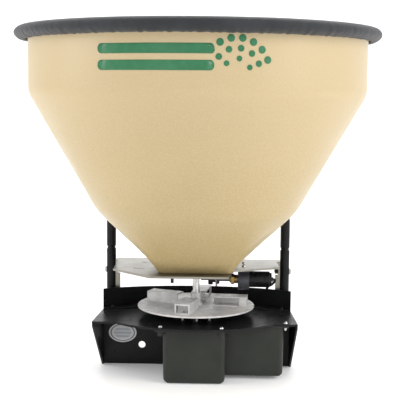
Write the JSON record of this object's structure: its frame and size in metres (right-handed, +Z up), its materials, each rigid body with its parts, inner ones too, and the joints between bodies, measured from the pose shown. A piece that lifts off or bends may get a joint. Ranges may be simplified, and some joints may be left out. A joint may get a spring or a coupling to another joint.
{
  "type": "vehicle-mounted broadcast spreader",
  "caption": "Broadcast spreader for a small vehicle: tan funnel hopper with a fabric rain cover, electric gate and powered spinner disc on a black steel base.",
  "frame": {"origin": "on the spinner's axis, on the surface that the base stands on", "axes": "+Z up along the spinner's shaft, -Y the way the material is thrown, +Y towards the vehicle, +X to the right seen from the front"},
  "size_m": [0.6699, 0.67, 0.643],
  "materials": {
    "black_coat": "gloss",
    "stainless": "satin",
    "zinc": "bright",
    "hopper_plastic": "satin",
    "black_steel": "satin",
    "bush_plastic": "matte",
    "can_black": "satin",
    "collar_grey": "satin",
    "brass": "satin",
    "black_rubber": "matte",
    "housing_alloy": "cast",
    "magnet": "matte",
    "cover_plastic": "matte",
    "label_silver": "satin",
    "decal_green": "satin",
    "cover_fabric": "woven",
    "spinner_steel": "satin",
    "copper": "satin"
  },
  "bodies": {
    "frame": {"base_deck": "black_coat", "mounting_panel": "black_coat", "gusset_left": "black_coat", "gusset_right": "black_coat", "deflector_wall": "black_coat", "wall_screws": "black_steel", "leg_left": "black_coat", "leg_right": "black_coat", "leg_foot_bolts": "zinc", "cradle_hoop": "black_coat", "hopper_plate": "stainless", "leg_washers": "zinc", "leg_bolts": "zinc", "leg_nuts": "black_steel", "hopper": "hopper_plastic", "hopper_bolts": "black_steel", "hopper_nuts": "black_steel", "shaft_bush": "bush_plastic", "gate_guides": "stainless", "actuator_can": "can_black", "actuator_collar": "collar_grey", "actuator_nose": "brass", "actuator_lead": "black_rubber", "bracket_bolts": "zinc", "lead_grommet": "black_rubber", "gearbox_housing": "housing_alloy", "gearbox_lid": "housing_alloy", "gearbox_bolts": "zinc", "gearbox_nuts": "black_steel", "shaft_bearings": "zinc", "worm_bush": "brass", "motor_endcap": "housing_alloy", "motor_can": "can_black", "motor_magnets": "magnet", "motor_bearings": "zinc", "motor_cover": "cover_plastic", "cover_screws": "zinc", "cover_nuts": "zinc", "cable_gland": "black_rubber", "oval_label": "label_silver", "hopper_decal": "decal_green"},
    "cover": {"rain_cover": "cover_fabric", "hem_elastic": "black_rubber"},
    "spinner": {"drive_shaft": "zinc", "spinner_disc": "spinner_steel", "spinner_hub": "spinner_steel", "spinner_vane_1": "spinner_steel", "spinner_vane_2": "spinner_steel", "spinner_vane_3": "spinner_steel", "spinner_vane_4": "spinner_steel", "vane_rivets": "zinc", "hub_set_screw": "zinc", "agitator": "zinc", "worm_wheel": "brass"},
    "rotor": {"motor_shaft": "zinc", "worm": "zinc", "armature": "copper"},
    "gate": {"gate_plate": "stainless", "gate_rod": "black_steel", "rod_nuts": "black_steel"}
  },
  "joints": [
    {"name": "spinner_spin", "type": "hinge", "parent": "frame", "child": "spinner", "pos_m": [0, 0, 0.125], "axis": [0, 0, 1], "continuous": true},
    {"name": "motor_spin", "type": "hinge", "parent": "frame", "child": "rotor", "pos_m": [0.1, -0.03, 0.048], "axis": [1, 0, 0], "continuous": true},
    {"name": "gate_slide", "type": "slide", "parent": "frame", "child": "gate", "axis": [1, 0, 0], "range_m": [0, 0.02]},
    {"name": "cover_lift", "type": "slide", "parent": "frame", "child": "cover", "axis": [0, 0, 1], "range_m": [0, 0.35]}
  ],
  "couplings": [
    {"joint": "motor_spin", "follows": "spinner_spin", "ratio": 5.5}
  ]
}
